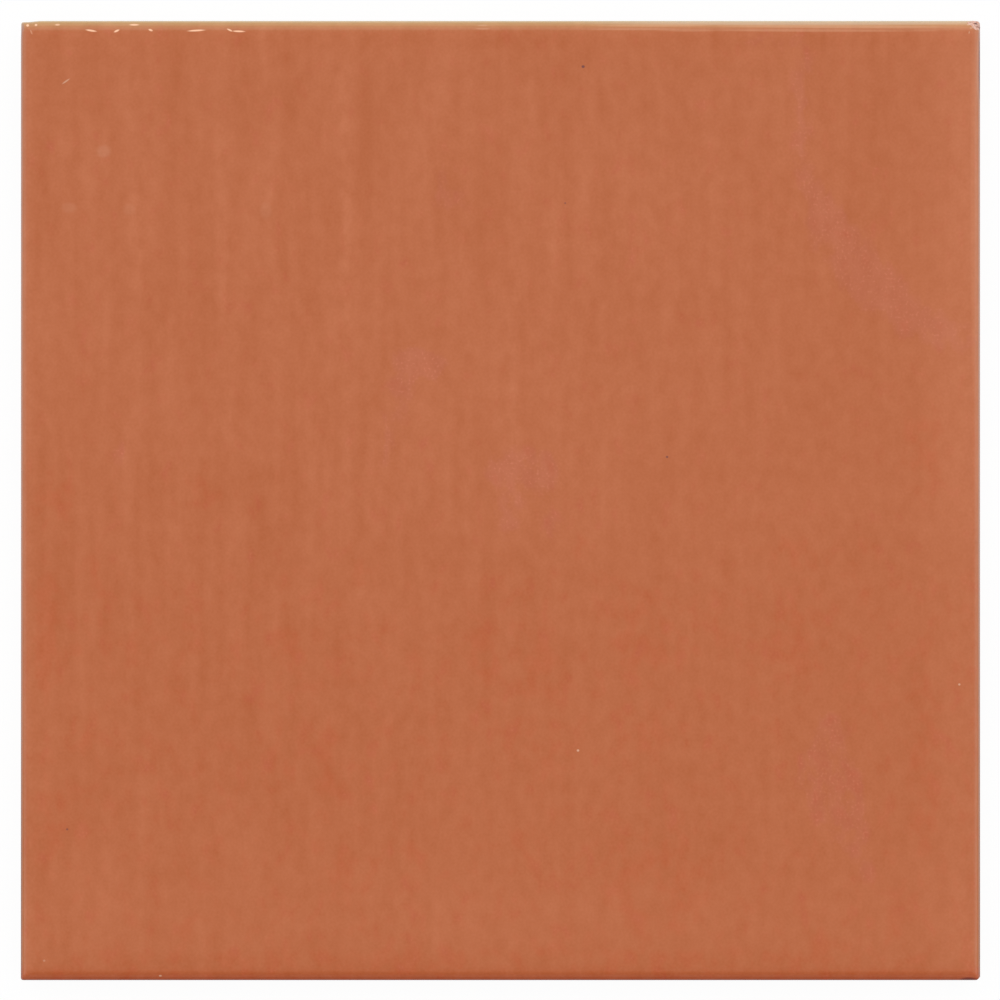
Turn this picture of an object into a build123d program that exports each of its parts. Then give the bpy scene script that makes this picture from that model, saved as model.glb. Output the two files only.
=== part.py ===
from build123d import *
import math
import os

# A glazed ceramic wall tile, a single pressed and fired piece. It lies face up, with its origin at
# the middle of the back, on the plane of the back ribs, and +Z through the face.
# Lengths are millimetres and angles are degrees.

# Outline and face
tile_side = 150.0  # edge to edge, at the widest line of the rolled edge
tile_thickness = 8.0  # back ribs to the middle of the face
pillow_width = 6.0  # soft rim over which the flat face begins to fall away
pillow_fall = 0.25  # how far the face has fallen at the outer end of that rim
edge_roll_radius = 1.8  # rolled edge between the rim and the side wall
corner_radius = 0.6  # rounding of the four upright corners

# Side walls and back edge
side_draft = 2.0  # lean of the walls towards the back, which frees the tile from its die
back_bevel = 1.0  # 45 degree bevel round the back

# Keying pattern pressed into the back: square pockets with ribs between them
key_pockets_per_side = 10
key_rib_width = 3.0  # between neighbouring pockets, on the plane of the back
key_border_width = 6.0  # plain land between the bevel and the outer pockets
key_depth = 0.9
key_wall_draft = 25.0  # slope of the pocket walls from upright


def section_points():
    """Corners of the section's right half, as X and Z, from the end of the flat face to the back."""
    rim_slope = 2 * math.atan2(pillow_fall, pillow_width)
    draft = math.radians(side_draft)
    roll_centre_x = tile_side / 2 - edge_roll_radius
    roll_centre_z = tile_thickness - pillow_fall - edge_roll_radius * math.cos(rim_slope)

    rim_end_x = roll_centre_x + edge_roll_radius * math.sin(rim_slope)
    wall_top_x = roll_centre_x + edge_roll_radius * math.cos(draft)
    wall_top_z = roll_centre_z - edge_roll_radius * math.sin(draft)
    wall_foot_x = wall_top_x - (wall_top_z - back_bevel) * math.tan(draft)
    return {
        "flat_end": (rim_end_x - pillow_width, tile_thickness),
        "rim_end": (rim_end_x, tile_thickness - pillow_fall),
        "wall_top": (wall_top_x, wall_top_z),
        "wall_foot": (wall_foot_x, back_bevel),
        "back_end": (wall_foot_x - back_bevel, 0),
    }


def tile_section():
    """Whole section across the tile: flat face, soft rim, rolled edge, drafted wall, bevel and back."""
    at = section_points()
    with BuildSketch(Plane.XZ) as section:
        with BuildLine():
            Line((0, tile_thickness), at["flat_end"])
            rim = TangentArc(at["flat_end"], at["rim_end"], tangent=(1, 0))
            TangentArc(at["rim_end"], at["wall_top"], tangent=rim % 1)
            Line(at["wall_top"], at["wall_foot"])
            Line(at["wall_foot"], at["back_end"])
            Line(at["back_end"], (0, 0))
            mirror(about=Plane.YZ)
        make_face()
    return section.sketch


def is_corner_edge(edge):
    """True for the four straight edges where two side walls meet, which rise more than they run."""
    along = edge.end_point() - edge.start_point()
    return edge.geom_type == GeomType.LINE and abs(along.Z) > math.hypot(along.X, along.Y)


def pressed_blank():
    """The tile with a plain back: its section run both ways and crossed, with the corners rounded."""
    along_y = extrude(tile_section(), amount=tile_side, both=True)
    along_x = Rot(0, 0, 90) * along_y
    crossed = along_y & along_x
    return fillet(crossed.edges().filter_by(is_corner_edge), corner_radius)


def key_pockets():
    """The grid of tapered pockets that the adhesive grips."""
    keyed_side = 2 * (section_points()["back_end"][0] - key_border_width)
    ribs_between = (key_pockets_per_side - 1) * key_rib_width
    pocket_side = (keyed_side - ribs_between) / key_pockets_per_side
    pitch = pocket_side + key_rib_width
    with BuildSketch(Plane.XY) as mouths:
        with GridLocations(pitch, pitch, key_pockets_per_side, key_pockets_per_side):
            Rectangle(pocket_side, pocket_side)
    return extrude(mouths.sketch, amount=key_depth, taper=key_wall_draft)


glazed_tile = pressed_blank() - key_pockets()

os.makedirs("parts", exist_ok=True)
export_step(glazed_tile, "parts/tile.step")
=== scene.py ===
import math
from collections import namedtuple

import bmesh
import bpy
import numpy as np
from bpy.props import FloatProperty, FloatVectorProperty, IntProperty, PointerProperty
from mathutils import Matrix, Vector, noise


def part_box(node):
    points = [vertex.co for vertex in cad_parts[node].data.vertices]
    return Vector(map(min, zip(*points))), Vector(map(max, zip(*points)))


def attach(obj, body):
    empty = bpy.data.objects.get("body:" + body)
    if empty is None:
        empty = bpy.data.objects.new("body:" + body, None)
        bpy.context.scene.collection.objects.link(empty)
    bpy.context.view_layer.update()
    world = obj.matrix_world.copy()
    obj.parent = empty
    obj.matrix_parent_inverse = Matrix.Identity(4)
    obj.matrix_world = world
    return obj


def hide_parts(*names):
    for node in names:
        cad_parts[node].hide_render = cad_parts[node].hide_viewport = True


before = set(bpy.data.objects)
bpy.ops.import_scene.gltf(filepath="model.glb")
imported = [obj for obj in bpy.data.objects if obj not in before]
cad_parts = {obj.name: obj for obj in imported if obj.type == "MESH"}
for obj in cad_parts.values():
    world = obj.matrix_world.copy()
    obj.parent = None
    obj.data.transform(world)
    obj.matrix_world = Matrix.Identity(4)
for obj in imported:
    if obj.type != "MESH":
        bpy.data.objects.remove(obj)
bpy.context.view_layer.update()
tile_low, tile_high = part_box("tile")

bl_info = {
    "name": "Glazed Wall Tile",
    "version": (1, 0, 0),
    "blender": (4, 5, 0),
    "location": "3D View > Sidebar > Wall Tile",
    "description": "Models a pressed and glazed ceramic wall tile and the stage it lies on",
    "category": "Mesh",
}

# Places and sizes in the lists below are millimetres on the tile, from the middle of its face, with X
# to the right and Y to the top. Blender's own units are metres. Lightness is in steps of a scale with
# 256 greys.
MM = 0.001
FLAT = 1e-6  # metres within which two heights or places are the same

# How finely the mesh is divided
PILLOW_RINGS = 12
ROLL_RINGS = 14
WALL_RINGS = 12
STRIPS_ALONG_X = (15, 16)  # cuts of the first pass, then cuts of each of its strips
STRIPS_ALONG_Y = (7, 16)
CORNER_SEGMENTS = 4
POCKET_LIP_SEGMENTS = 2
BREAK_CUTS = 3
SMOOTH_ANGLE = math.radians(32.0)  # edges sharper than this stay sharp

# Runs of glaze down the face: where each stands, begins and ends, its half width and its lightness
Run = namedtuple("Run", "x top bottom half_width lightness")
GLAZE_RUNS = (
    Run(-61.6, -6, -28, 0.9, -2.0),
    Run(-56.9, 70, 26, 1.3, 2.2),
    Run(-58.2, 28, -42, 0.9, 1.8),
    Run(-43.2, 62, 14, 1.1, 2.4),
    Run(-36.2, 54, 18, 1.1, 2.4),
    Run(-24.3, 70, 18, 1.0, 4.6),
    Run(-21.2, 70, 42, 1.5, -4.8),
    Run(-18.0, 20, -2, 0.9, 1.8),
    Run(-13.5, 38, 20, 0.8, -2.0),
    Run(-10.2, 70, 42, 1.2, 2.2),
    Run(-5.5, 20, -12, 0.8, 2.0),
    Run(-2.2, 16, -30, 1.1, -2.4),
    Run(2.3, 46, -10, 1.2, 2.2),
    Run(7.7, 48, 12, 0.9, 1.4),
    Run(15.0, 46, 12, 0.9, 1.0),
    Run(32.8, 46, 18, 1.4, 1.2),
)
RUN_END_FADE = 12.0
STRONGEST_RUN = 4.6
SWELL_FADE = 24.0  # how far from the edge the relief of the face begins to fade
OUTLINE_GUARD = (0.35, 0.1)  # shares of the roll's radius between which its waver ends at the outline
BARE_STEP_HALF = 0.2  # half the height over which the glaze ends on the walls

# Waves that a line follows: how far aside, how quick, and how they differ from run to run
Wave = namedtuple("Wave", "aside pace shift")
RUN_WAVES = (Wave(0.3, 0.17, 1.0), Wave(0.15, 0.43, 1.7))
PARTING_WAVES = (Wave(1.5, 0.35, 0.0), Wave(0.8, 0.83, 0.0))

# Waver of the glaze's lower edge: width of one waver, layer of the noise and share of the height
LineWaver = namedtuple("LineWaver", "size layer share")
GLAZE_LINE_WAVERS = (LineWaver(11.0, 3, 1.0), LineWaver(3.0, 8, 0.35))

# Broad, soft patches: middle, half sizes and strength
Patch = namedtuple("Patch", "x y half_x half_y strength")
PATCH_FADE = (0.3, 1.5)  # shares of its half size between which a patch fades out

# Patches lighter or darker than the rest, in steps of lightness, from the top of the face to its foot
LIGHT_PATCHES = (
    Patch(0.0, 71.6, 90.0, 1.1, -1.8),
    Patch(-50.9, 64.2, 2.5, 7.8, -2.0),
    Patch(-38.4, 62.7, 5.6, 4.7, -2.0),
    Patch(-32.9, 63.5, 1.6, 7.0, -1.5),
    Patch(-66.5, 53.3, 4.4, 9.4, 1.2),
    Patch(43.7, 58.0, 6.3, 9.4, 1.2),
    Patch(57.8, 54.9, 4.7, 14.0, -1.2),
    Patch(7.8, 25.1, 1.9, 3.4, -2.0),
    Patch(-12.9, 21.7, 3.4, 1.5, 1.0),
    Patch(-8.4, 49.0, 2.8, 4.0, -1.4),
    Patch(-12.6, 9.5, 3.8, 12.5, 1.4),
    Patch(31.2, 5.6, 15.6, 9.4, -0.8),
    Patch(51.8, 17.0, 13.0, 20.0, -1.0),
    Patch(2.3, 0.1, 2.5, 7.2, 1.6),
    Patch(-67.3, 0.1, 5.6, 7.5, 1.2),
    Patch(-42.3, 3.6, 5.0, 4.0, -1.5),
    Patch(42.2, -10.8, 4.7, 4.4, 0.8),
    Patch(47.6, -7.7, 7.2, 7.8, -0.3),
    Patch(-30.6, -20.2, 2.4, 3.1, -1.5),
    Patch(8.5, -24.9, 6.6, 5.0, -1.4),
    Patch(64.4, -35.9, 2.0, 12.5, -1.8),
    Patch(-28.5, -42.9, 2.8, 7.5, -1.8),
    Patch(26.2, -42.1, 5.3, 1.7, -1.8),
    Patch(-44.3, -42.9, 22.0, 8.0, -0.8),
    Patch(28.1, -53.8, 12.5, 7.0, -1.2),
    Patch(-62.6, -64.0, 6.6, 7.8, 1.6),
    Patch(-9.5, -64.0, 6.6, 7.8, 1.3),
    Patch(7.7, -66.4, 11.0, 5.3, 0.8),
)

# Lightness of the two halves, the foot, the right margin and the left rim, where it is a painted
# highlight, and the stretches of X or Y over which each comes in
UPPER_LIGHTNESS = 0.9
LOWER_LIGHTNESS = -1.1
PARTING_LEFT = 6.5  # height of the line between the halves, at the left
PARTING_DROP = 11.5  # how much lower that line lies at the right
PARTING_STEP = (-34, -26)
PARTING_HALF_WIDTH = 3
FOOT_LIGHTNESS = 1.0
FOOT_STRETCH = (-64, -54)
MARGIN_LIGHTNESS = 5.5
MARGIN_STRETCH = (63, 73)
MARGIN_RISE = (-30, 15)  # below this stretch the margin is half as light
LEFT_RIM_PAINTED_HIGHLIGHT = 3.7
LEFT_RIM_STRETCH = (72.4, 74)

# Redness of all of the lower half, and patches where the iron in the glaze has fired redder still
LOWER_REDNESS = 0.25
REDNESS_STRETCH = (-14, 0)
RED_PATCHES = (
    Patch(65.9, 7.9, 3.4, 7.8, 0.6),
    Patch(-69.7, 0.6, 3.4, 5.3, 0.65),
    Patch(-60.6, 1.7, 2.2, 1.9, 0.5),
    Patch(-44.6, 1.4, 8.0, 3.8, 0.35),
    Patch(12.8, -7.4, 1.5, 2.0, 0.8),
    Patch(46.1, -8.5, 5.6, 4.0, 0.6),
    Patch(-22.3, -10.8, 1.4, 5.6, 0.6),
    Patch(56.9, -11.6, 2.4, 5.6, 0.6),
    Patch(-63.0, -12.4, 1.4, 6.6, 0.9),
    Patch(-70.9, -21.3, 2.1, 10.0, 1.5),
    Patch(-56.9, -21.8, 1.4, 3.4, 0.6),
    Patch(-32.6, -21.8, 3.8, 5.0, 0.6),
    Patch(-12.6, -21.8, 1.4, 5.0, 0.55),
    Patch(-2.6, -24.1, 2.4, 5.6, 0.9),
    Patch(21.8, -21.8, 7.5, 9.4, 0.65),
    Patch(34.6, -21.0, 2.0, 5.6, 0.5),
    Patch(46.5, -21.8, 6.0, 7.5, 0.6),
    Patch(-65.0, -23.3, 2.8, 1.2, 0.6),
    Patch(6.2, -26.2, 5.0, 5.6, 0.8),
    Patch(-23.2, -27.4, 2.0, 2.8, 0.6),
    Patch(5.1, -38.2, 6.0, 7.0, 0.55),
    Patch(23.4, -38.2, 7.8, 7.0, 0.5),
    Patch(65.9, -40.5, 3.1, 18.8, 0.75),
    Patch(-64.7, -39.3, 1.3, 4.4, 0.8),
    Patch(-34.2, -41.3, 2.8, 5.6, 0.5),
    Patch(-26.7, -42.1, 2.5, 7.8, 0.85),
    Patch(-69.4, -49.9, 2.8, 11.0, 0.55),
    Patch(-13.8, -55.4, 2.8, 5.6, 0.6),
    Patch(3.1, -55.4, 3.1, 5.6, 0.55),
    Patch(-23.9, -58.1, 6.0, 5.3, 0.6),
    Patch(25.0, -60.1, 9.4, 10.3, 0.75),
    Patch(-48.9, -67.9, 1.3, 4.0, 0.7),
    Patch(60.9, -67.9, 1.7, 4.0, 0.8),
    Patch(50.8, -70.0, 4.0, 2.8, 1.0),
    Patch(0.0, -71.5, 78.0, 2.2, 0.75),
)

# Dull lilac patches where the glaze has crystallised: strokes of points with their half widths
Stroke = namedtuple("Stroke", "strength points")
HAZE_STROKES = (
    Stroke(0.5, ((-9.0, 52.5, 1.2), (-8.4, 49.0, 2.4), (-7.8, 46.5, 2.6))),
    Stroke(1.6, ((-14.8, 21.6, 1.9), (-10.8, 21.2, 2.1))),
    Stroke(0.8, ((-15.0, 18.0, 2.2), (-16.8, 12.5, 1.5), (-18.2, 6.5, 0.9))),
    Stroke(0.9, ((0.4, 5.2, 3.0), (6.4, 4.6, 3.0))),
    Stroke(0.7, ((2.2, 0.5, 2.3), (1.6, -4.5, 1.9))),
    Stroke(0.6, ((8.0, -3.2, 1.5), (8.3, -4.2, 1.4))),
    Stroke(0.5, ((39.0, 71.8, 0.7), (46.5, 71.3, 1.1))),
    Stroke(0.8, ((47.2, 68.0, 1.5), (47.0, 58.0, 1.2), (47.8, 51.0, 1.6))),
    Stroke(1.0, ((48.8, 48.0, 2.0), (51.5, 42.0, 3.6), (57.5, 34.0, 3.8), (63.5, 29.0, 3.2))),
    Stroke(0.8, ((63.5, 29.0, 3.2), (70.0, 26.0, 2.6), (73.5, 25.0, 1.8))),
    Stroke(0.7, ((51.0, -36.0, 3.2), (51.3, -43.6, 5.4), (54.0, -51.0, 4.0), (57.2, -58.0, 1.4))),
    Stroke(0.5, ((-59.2, 8.4, 0.9), (-59.2, 6.4, 1.0))),
)
HAZE_FEATHER = 1.5

# Small marks in the glaze, and marks of painted light and shade: middle, half length, half width, turn
# in degrees and strength
Mark = namedtuple("Mark", "x y half_length half_width turn strength")
MARK_CORE = 0.4  # share of its half size within which a mark is full
DARK_SPECKS = (
    Mark(12.9, 67.7, 0.34, 0.30, 0, 0.9),
    Mark(26.0, 6.8, 0.26, 0.24, 0, 0.8),
    Mark(10.1, 46.4, 0.22, 0.20, 0, 0.6),
    Mark(-67.6, -51.3, 0.26, 0.22, 0, 0.7),
)
PALE_SPECKS = (
    Mark(12.1, -39.0, 0.26, 0.24, 0, 0.8),
    Mark(71.6, -28.7, 0.24, 0.22, 0, 0.8),
    Mark(-53.1, -74.2, 0.30, 0.20, 0, 0.7),
    Mark(-71.2, -71.8, 0.26, 0.24, 0, 0.35),
    Mark(73.00, 74.30, 0.20, 0.18, 0, 0.8),
    Mark(73.15, 73.05, 0.30, 0.14, 80, 0.45),
    Mark(73.45, 73.75, 0.30, 0.22, 20, 0.35),
    Mark(-67.8, 65.4, 0.95, 0.16, 35, 0.6),
    Mark(-61.9, 54.5, 1.50, 1.30, 0, 0.11),
    Mark(-67.3, 45.7, 1.60, 1.10, 0, 0.07),
    Mark(-57.9, 45.4, 1.30, 1.20, 0, 0.05),
    Mark(-36.6, 45.2, 1.20, 1.80, 0, 0.06),
)

# Painted glints at the left of the top edge, as if the glaze had drawn up into small ripples that catch
# the light, then faint painted reflections along the right half of that edge, and a faint lighter line
# down the edge from the top right corner
PAINTED_EDGE_GLINTS = (
    Mark(-73.84, 74.20, 0.29, 0.27, 0, 1.0),
    Mark(-72.52, 74.26, 0.28, 0.25, 0, 0.85),
    Mark(-73.22, 73.10, 0.50, 0.17, -68, 0.26),
    Mark(-69.16, 74.29, 0.52, 0.22, 0, 0.6),
    Mark(-63.88, 73.34, 1.10, 0.19, -9, 0.95),
    Mark(-59.90, 73.29, 0.60, 0.21, 24, 0.95),
    Mark(-57.18, 74.28, 0.98, 0.20, 0, 0.8),
    Mark(-54.60, 73.42, 0.46, 0.21, -20, 0.9),
    Mark(-47.48, 73.35, 1.75, 0.18, 3, 0.95),
    Mark(-42.25, 73.42, 0.60, 0.17, -25, 0.9),
    Mark(-40.85, 73.23, 1.25, 0.18, -2, 0.95),
    Mark(-2.81, 74.16, 1.10, 0.20, 0, 0.16),
    Mark(-2.80, 73.64, 1.50, 0.20, 0, 0.14),
    Mark(24.20, 74.13, 12.0, 0.28, 0, 0.15),
    Mark(51.50, 73.99, 25.0, 0.31, -0.2, 0.17),
    Mark(21.50, 73.55, 10.0, 0.22, 0, 0.11),
    Mark(29.50, 73.36, 6.0, 0.25, 0, 0.11),
    Mark(48.50, 73.34, 21.0, 0.27, -0.2, 0.14),
    Mark(66.00, 73.34, 3.0, 0.20, 0, 0.08),
    Mark(73.90, 48.0, 40.0, 0.75, 90, 0.05),
)

# Painted reflections: paler lines along the top edge, stronger in its right half, and down from the top
# right corner
PAINTED_EDGE_SHEENS = (
    Mark(-22.0, 74.86, 72.0, 0.40, 0, 0.05),
    Mark(47.0, 74.62, 45.0, 0.50, 0, 0.15),
    Mark(74.50, 67.50, 7.0, 0.20, 90, 0.06),
)

# Dark lines of painted shade along the rims, where the edges turn away from the light, and a darker spot
# near the bottom right corner; then painted grey reflection and shade in lines just inside them; and
# stains in the chip at the top right corner, with painted shade along its dark hook and outer edge
PAINTED_RIM_SHADES = (
    Mark(74.90, 67.5, 7.5, 0.26, 90, 0.95),
    Mark(75.00, 0.0, 250.0, 0.25, 90, 0.28),
    Mark(-75.00, 0.0, 250.0, 0.25, 90, 0.36),
    Mark(-74.98, 72.9, 1.4, 0.30, 90, 0.55),
    Mark(0.0, -75.00, 250.0, 0.22, 0, 0.35),
    Mark(73.1, -74.80, 1.7, 0.46, 0, 0.80),
)
# Painted grey reflection and shade just inside the rims and at the top left corner
PAINTED_RIM_REFLECTIONS = (
    Mark(-74.75, 0.0, 250.0, 0.19, 90, 0.27),
    Mark(-74.62, 73.9, 0.90, 0.30, 90, 0.45),
    Mark(74.74, 0.0, 250.0, 0.20, 90, 0.32),
)
# Stains in the chip, with painted shade along its dark hook and its outer edge
CHIP_STAINS_AND_SHADE = (
    Mark(74.30, 74.54, 0.42, 0.16, -10, 1.0),
    Mark(74.52, 74.02, 0.45, 0.22, 0, 0.40),
    Mark(74.92, 73.72, 0.50, 0.26, 90, 0.75),
    Mark(74.90, 74.40, 0.50, 0.20, 90, 0.25),
    Mark(73.50, 74.20, 0.20, 0.28, 30, 0.20),
    Mark(73.72, 73.66, 0.34, 0.20, 40, 0.25),
)

# How the glaze lies along each edge of the face, which also paints a highlight along the top edge and
# shade along the bottom one: how far in the change reaches, and how thick it is at the very edge, from
# -1, drawn thin and lighter, to 1, pooled and darker
EdgeCoatAndShading = namedtuple("EdgeCoatAndShading", "axis sign reach thickness")
EDGE_COATS_AND_SHADING = (
    EdgeCoatAndShading("Y", 1, 2.15, -0.93),
    EdgeCoatAndShading("X", -1, 1.0, -0.26),
    EdgeCoatAndShading("X", 1, 1.2, -0.27),
    EdgeCoatAndShading("Y", -1, 3.0, 0.95),
)
WALL_COAT_SHARE = 0.3  # how much of that change is left lower down on the side walls
WALL_COAT_FADE = (-2.2, -0.1)  # heights from the outline between which the rest is lost
PAINTED_RIM_SHADE_FADE = (-0.1, 0.2)  # heights from the outline between which the painted rim shade begins
EDGE_ZONE = 4.0  # width of the border that has the edge's own finish

# Noise in the glaze: its sizes, how it is drawn out along the axes, and the width of its swing in steps
# of lightness or shares of a tint
STREAK_SIZE = 2.4
STREAK_DRAWN = (1, 0.12, 1)
STREAK_SWING = 12.0
STREAK_DIAGONAL = (-90.0, 60.0)  # Y less X, from the bottom right to the top left
STREAK_SHARES = (0.3, 1.0)  # of the streaks that show at those two ends
BLOTCH_SIZE = 1.9
BLOTCH_DRAWN = (1, 0.7, 1)
BLOTCH_SWING = 13.0
RUN_BREAKS = (0.6, 1.4)  # how far the blotches weaken or strengthen a run
CLOUD_SIZE = 2.2
RED_SWING = 3.4
RED_RANGE = (0.15, 1.3)
HAZE_SWING = 2.4
HAZE_RANGE = (0.2, 1.0)
GRAIN_SIZE = 0.4
GRAIN_SWING = 6.4
# The glitter is painted: lighter specks in the haze stand in for crystals catching the light
GLITTER_RANGE = (0.68, 0.75)  # of the grain, where crystals in the haze glitter
GLITTER_LIGHTNESS = 6.0
RIPPLE_SIZE = 1.4
RIPPLE_HEIGHT = 0.005

# Noise in the bare clay, at the ragged lower edge of the glaze and in the fresh breaks
NOISE_MIDDLE = (0.3, 0.7)  # the stretch in which most noise lies
CLAY_MOTTLE_SIZE = 2.5
CLAY_SHADES = (0.86, 1.08)
CLAY_SPECK_SIZE = 0.45
CLAY_SPECK_RANGE = (0.66, 0.74)
CLAY_SPECK_TINT = (0.55, 0.42, 0.36)
CLAY_GRAIN_SIZE = 0.22
CLAY_GRAIN_HEIGHT = 0.02
CLAY_ROUGHNESS = (0.78, 0.92)
RAGGED_SIZE = 0.5
RAGGED_SWING = 0.48
RAGGED_HALF_WIDTH = 0.12
BREAK_FINENESS = (3, 3, 3)
CRUMB_SIZE = 0.45
CRUMB_RANGE = (0.5, 0.58)
CRUMB_SHARE = 0.6

# Breaks at the corners: which way each looks, how rough it is and the seed of its roughness
Break = namedtuple("Break", "outward roughness seed")
CLIP_BREAK = Break(Vector((1, -1, 0)), 0.15, 3)
CHIP_BREAKS = (
    Break(Vector((0.12, 0.58, 0.50)), 0.25, 5),
    Break(Vector((0.58, 0.57, 0.58)), 0.25, 8),
)

# Soft boxes, in metres, and the camera
KEY_PLACE = Vector((0, 2.75, 3.57))
KEY_SIZE = (7.2, 2.3)
OVERHEAD_PLACE = Vector((0, 0, 4.5))
OVERHEAD_SIZE = (4.0, 4.0)
FLAG_FADE = (-0.08, 0.0)  # metres of Y between which the mirrored floor brightens
SENSOR_WIDTH = 36.0  # millimetres
TILE_SHARE = 0.95915  # of the picture's width
CAMERA_SHIFT = (-0.074, 0.08)  # millimetres from the middle of the tile

# Zones of the light tent, by the Z or Y of a direction of length 1
TENT_RISE = (0.0, math.sin(math.radians(55)))
TENT_FOOT = (0.04, 0.12)
TENT_BACK = (-0.8, 0.0)


class TileShape(bpy.types.PropertyGroup):
    """Sizes of the pressed tile and of the relief in its glaze"""

    side: FloatProperty(
        name="Side",
        description="Edge to edge, at the widest line of the rolled edge",
        default=tile_high.x - tile_low.x,
        unit="LENGTH",
    )
    thickness: FloatProperty(
        name="Thickness",
        description="From the back ribs to the middle of the face",
        default=tile_high.z - tile_low.z,
        unit="LENGTH",
    )
    pillow_width: FloatProperty(
        name="Pillow Width",
        description="Soft rim over which the flat face begins to fall away",
        default=6.0 * MM,
        unit="LENGTH",
    )
    pillow_fall: FloatProperty(
        name="Pillow Fall",
        description="How far the face has fallen at the outer end of the soft rim",
        default=0.25 * MM,
        unit="LENGTH",
    )
    edge_roll_radius: FloatProperty(
        name="Edge Roll Radius",
        description="Rolled edge between the rim and the side wall",
        default=1.8 * MM,
        unit="LENGTH",
    )
    corner_radius: FloatProperty(
        name="Corner Radius",
        description="Rounding of the four upright corners",
        default=0.35 * MM,
        unit="LENGTH",
    )
    side_draft: FloatProperty(
        name="Side Draft",
        description="Lean of the side walls towards the back",
        default=math.radians(2.0),
        subtype="ANGLE",
    )
    back_bevel: FloatProperty(
        name="Back Bevel",
        description="45 degree bevel round the back",
        default=1.0 * MM,
        unit="LENGTH",
    )
    key_pockets: IntProperty(
        name="Key Pockets",
        description="Pockets along one side of the keyed back",
        default=10,
        min=2,
    )
    key_rib_width: FloatProperty(
        name="Key Rib Width",
        description="Rib between two pockets, on the plane of the back",
        default=3.0 * MM,
        unit="LENGTH",
    )
    key_border_width: FloatProperty(
        name="Key Border Width",
        description="Plain land between the back bevel and the outer pockets",
        default=6.0 * MM,
        unit="LENGTH",
    )
    key_depth: FloatProperty(
        name="Key Depth",
        description="Depth of the pockets",
        default=0.9 * MM,
        unit="LENGTH",
    )
    key_wall_draft: FloatProperty(
        name="Key Wall Draft",
        description="Slope of the pocket walls from upright",
        default=math.radians(25.0),
        subtype="ANGLE",
    )
    pocket_lip_radius: FloatProperty(
        name="Pocket Lip Radius",
        description="Softened lip round the mouth of each pocket",
        default=0.25 * MM,
        unit="LENGTH",
    )
    glaze_swell: FloatProperty(
        name="Glaze Swell",
        description="Height of the broad, slow waves in the glazed face",
        default=0.07 * MM,
        unit="LENGTH",
    )
    swell_size: FloatProperty(
        name="Swell Size",
        description="Width of one wave in the glazed face",
        default=26.0 * MM,
        unit="LENGTH",
    )
    run_height: FloatProperty(
        name="Run Height",
        description="How far the strongest glaze run stands proud",
        default=0.03 * MM,
        unit="LENGTH",
    )
    edge_waver: FloatProperty(
        name="Edge Waver",
        description="How far the glaze over the rolled edge wavers from a true line",
        default=0.06 * MM,
        unit="LENGTH",
    )
    waver_size: FloatProperty(
        name="Waver Size",
        description="Length of one waver along the rolled edge",
        default=7.0 * MM,
        unit="LENGTH",
    )
    bare_step: FloatProperty(
        name="Bare Step",
        description="Thickness of the glaze at its lower edge on the side walls",
        default=0.15 * MM,
        unit="LENGTH",
    )
    glaze_line: FloatProperty(
        name="Glaze Line",
        description="Height on the side walls down to which the glaze has run",
        default=2.6 * MM,
        unit="LENGTH",
    )
    glaze_line_waver: FloatProperty(
        name="Glaze Line Waver",
        description="How far the lower edge of the glaze wanders up and down",
        default=1.3 * MM,
        unit="LENGTH",
    )
    corner_clip: FloatProperty(
        name="Corner Clip",
        description="Leg of the small corner knocked off at the bottom right",
        default=0.62 * MM,
        unit="LENGTH",
    )
    chip_length: FloatProperty(
        name="Chip Length",
        description="How far the chip at the top right corner reaches along the top edge",
        default=2.2 * MM,
        unit="LENGTH",
    )
    chip_drop: FloatProperty(
        name="Chip Drop",
        description="How far that chip reaches down the right edge",
        default=1.6 * MM,
        unit="LENGTH",
    )
    corner_slump: FloatProperty(
        name="Corner Slump",
        description="How far the glaze has drawn back from the top left corner",
        default=0.3 * MM,
        unit="LENGTH",
    )
    slump_reach: FloatProperty(
        name="Slump Reach",
        description="How far along the edge the drawn-back corner reaches",
        default=3.0 * MM,
        unit="LENGTH",
    )


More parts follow.
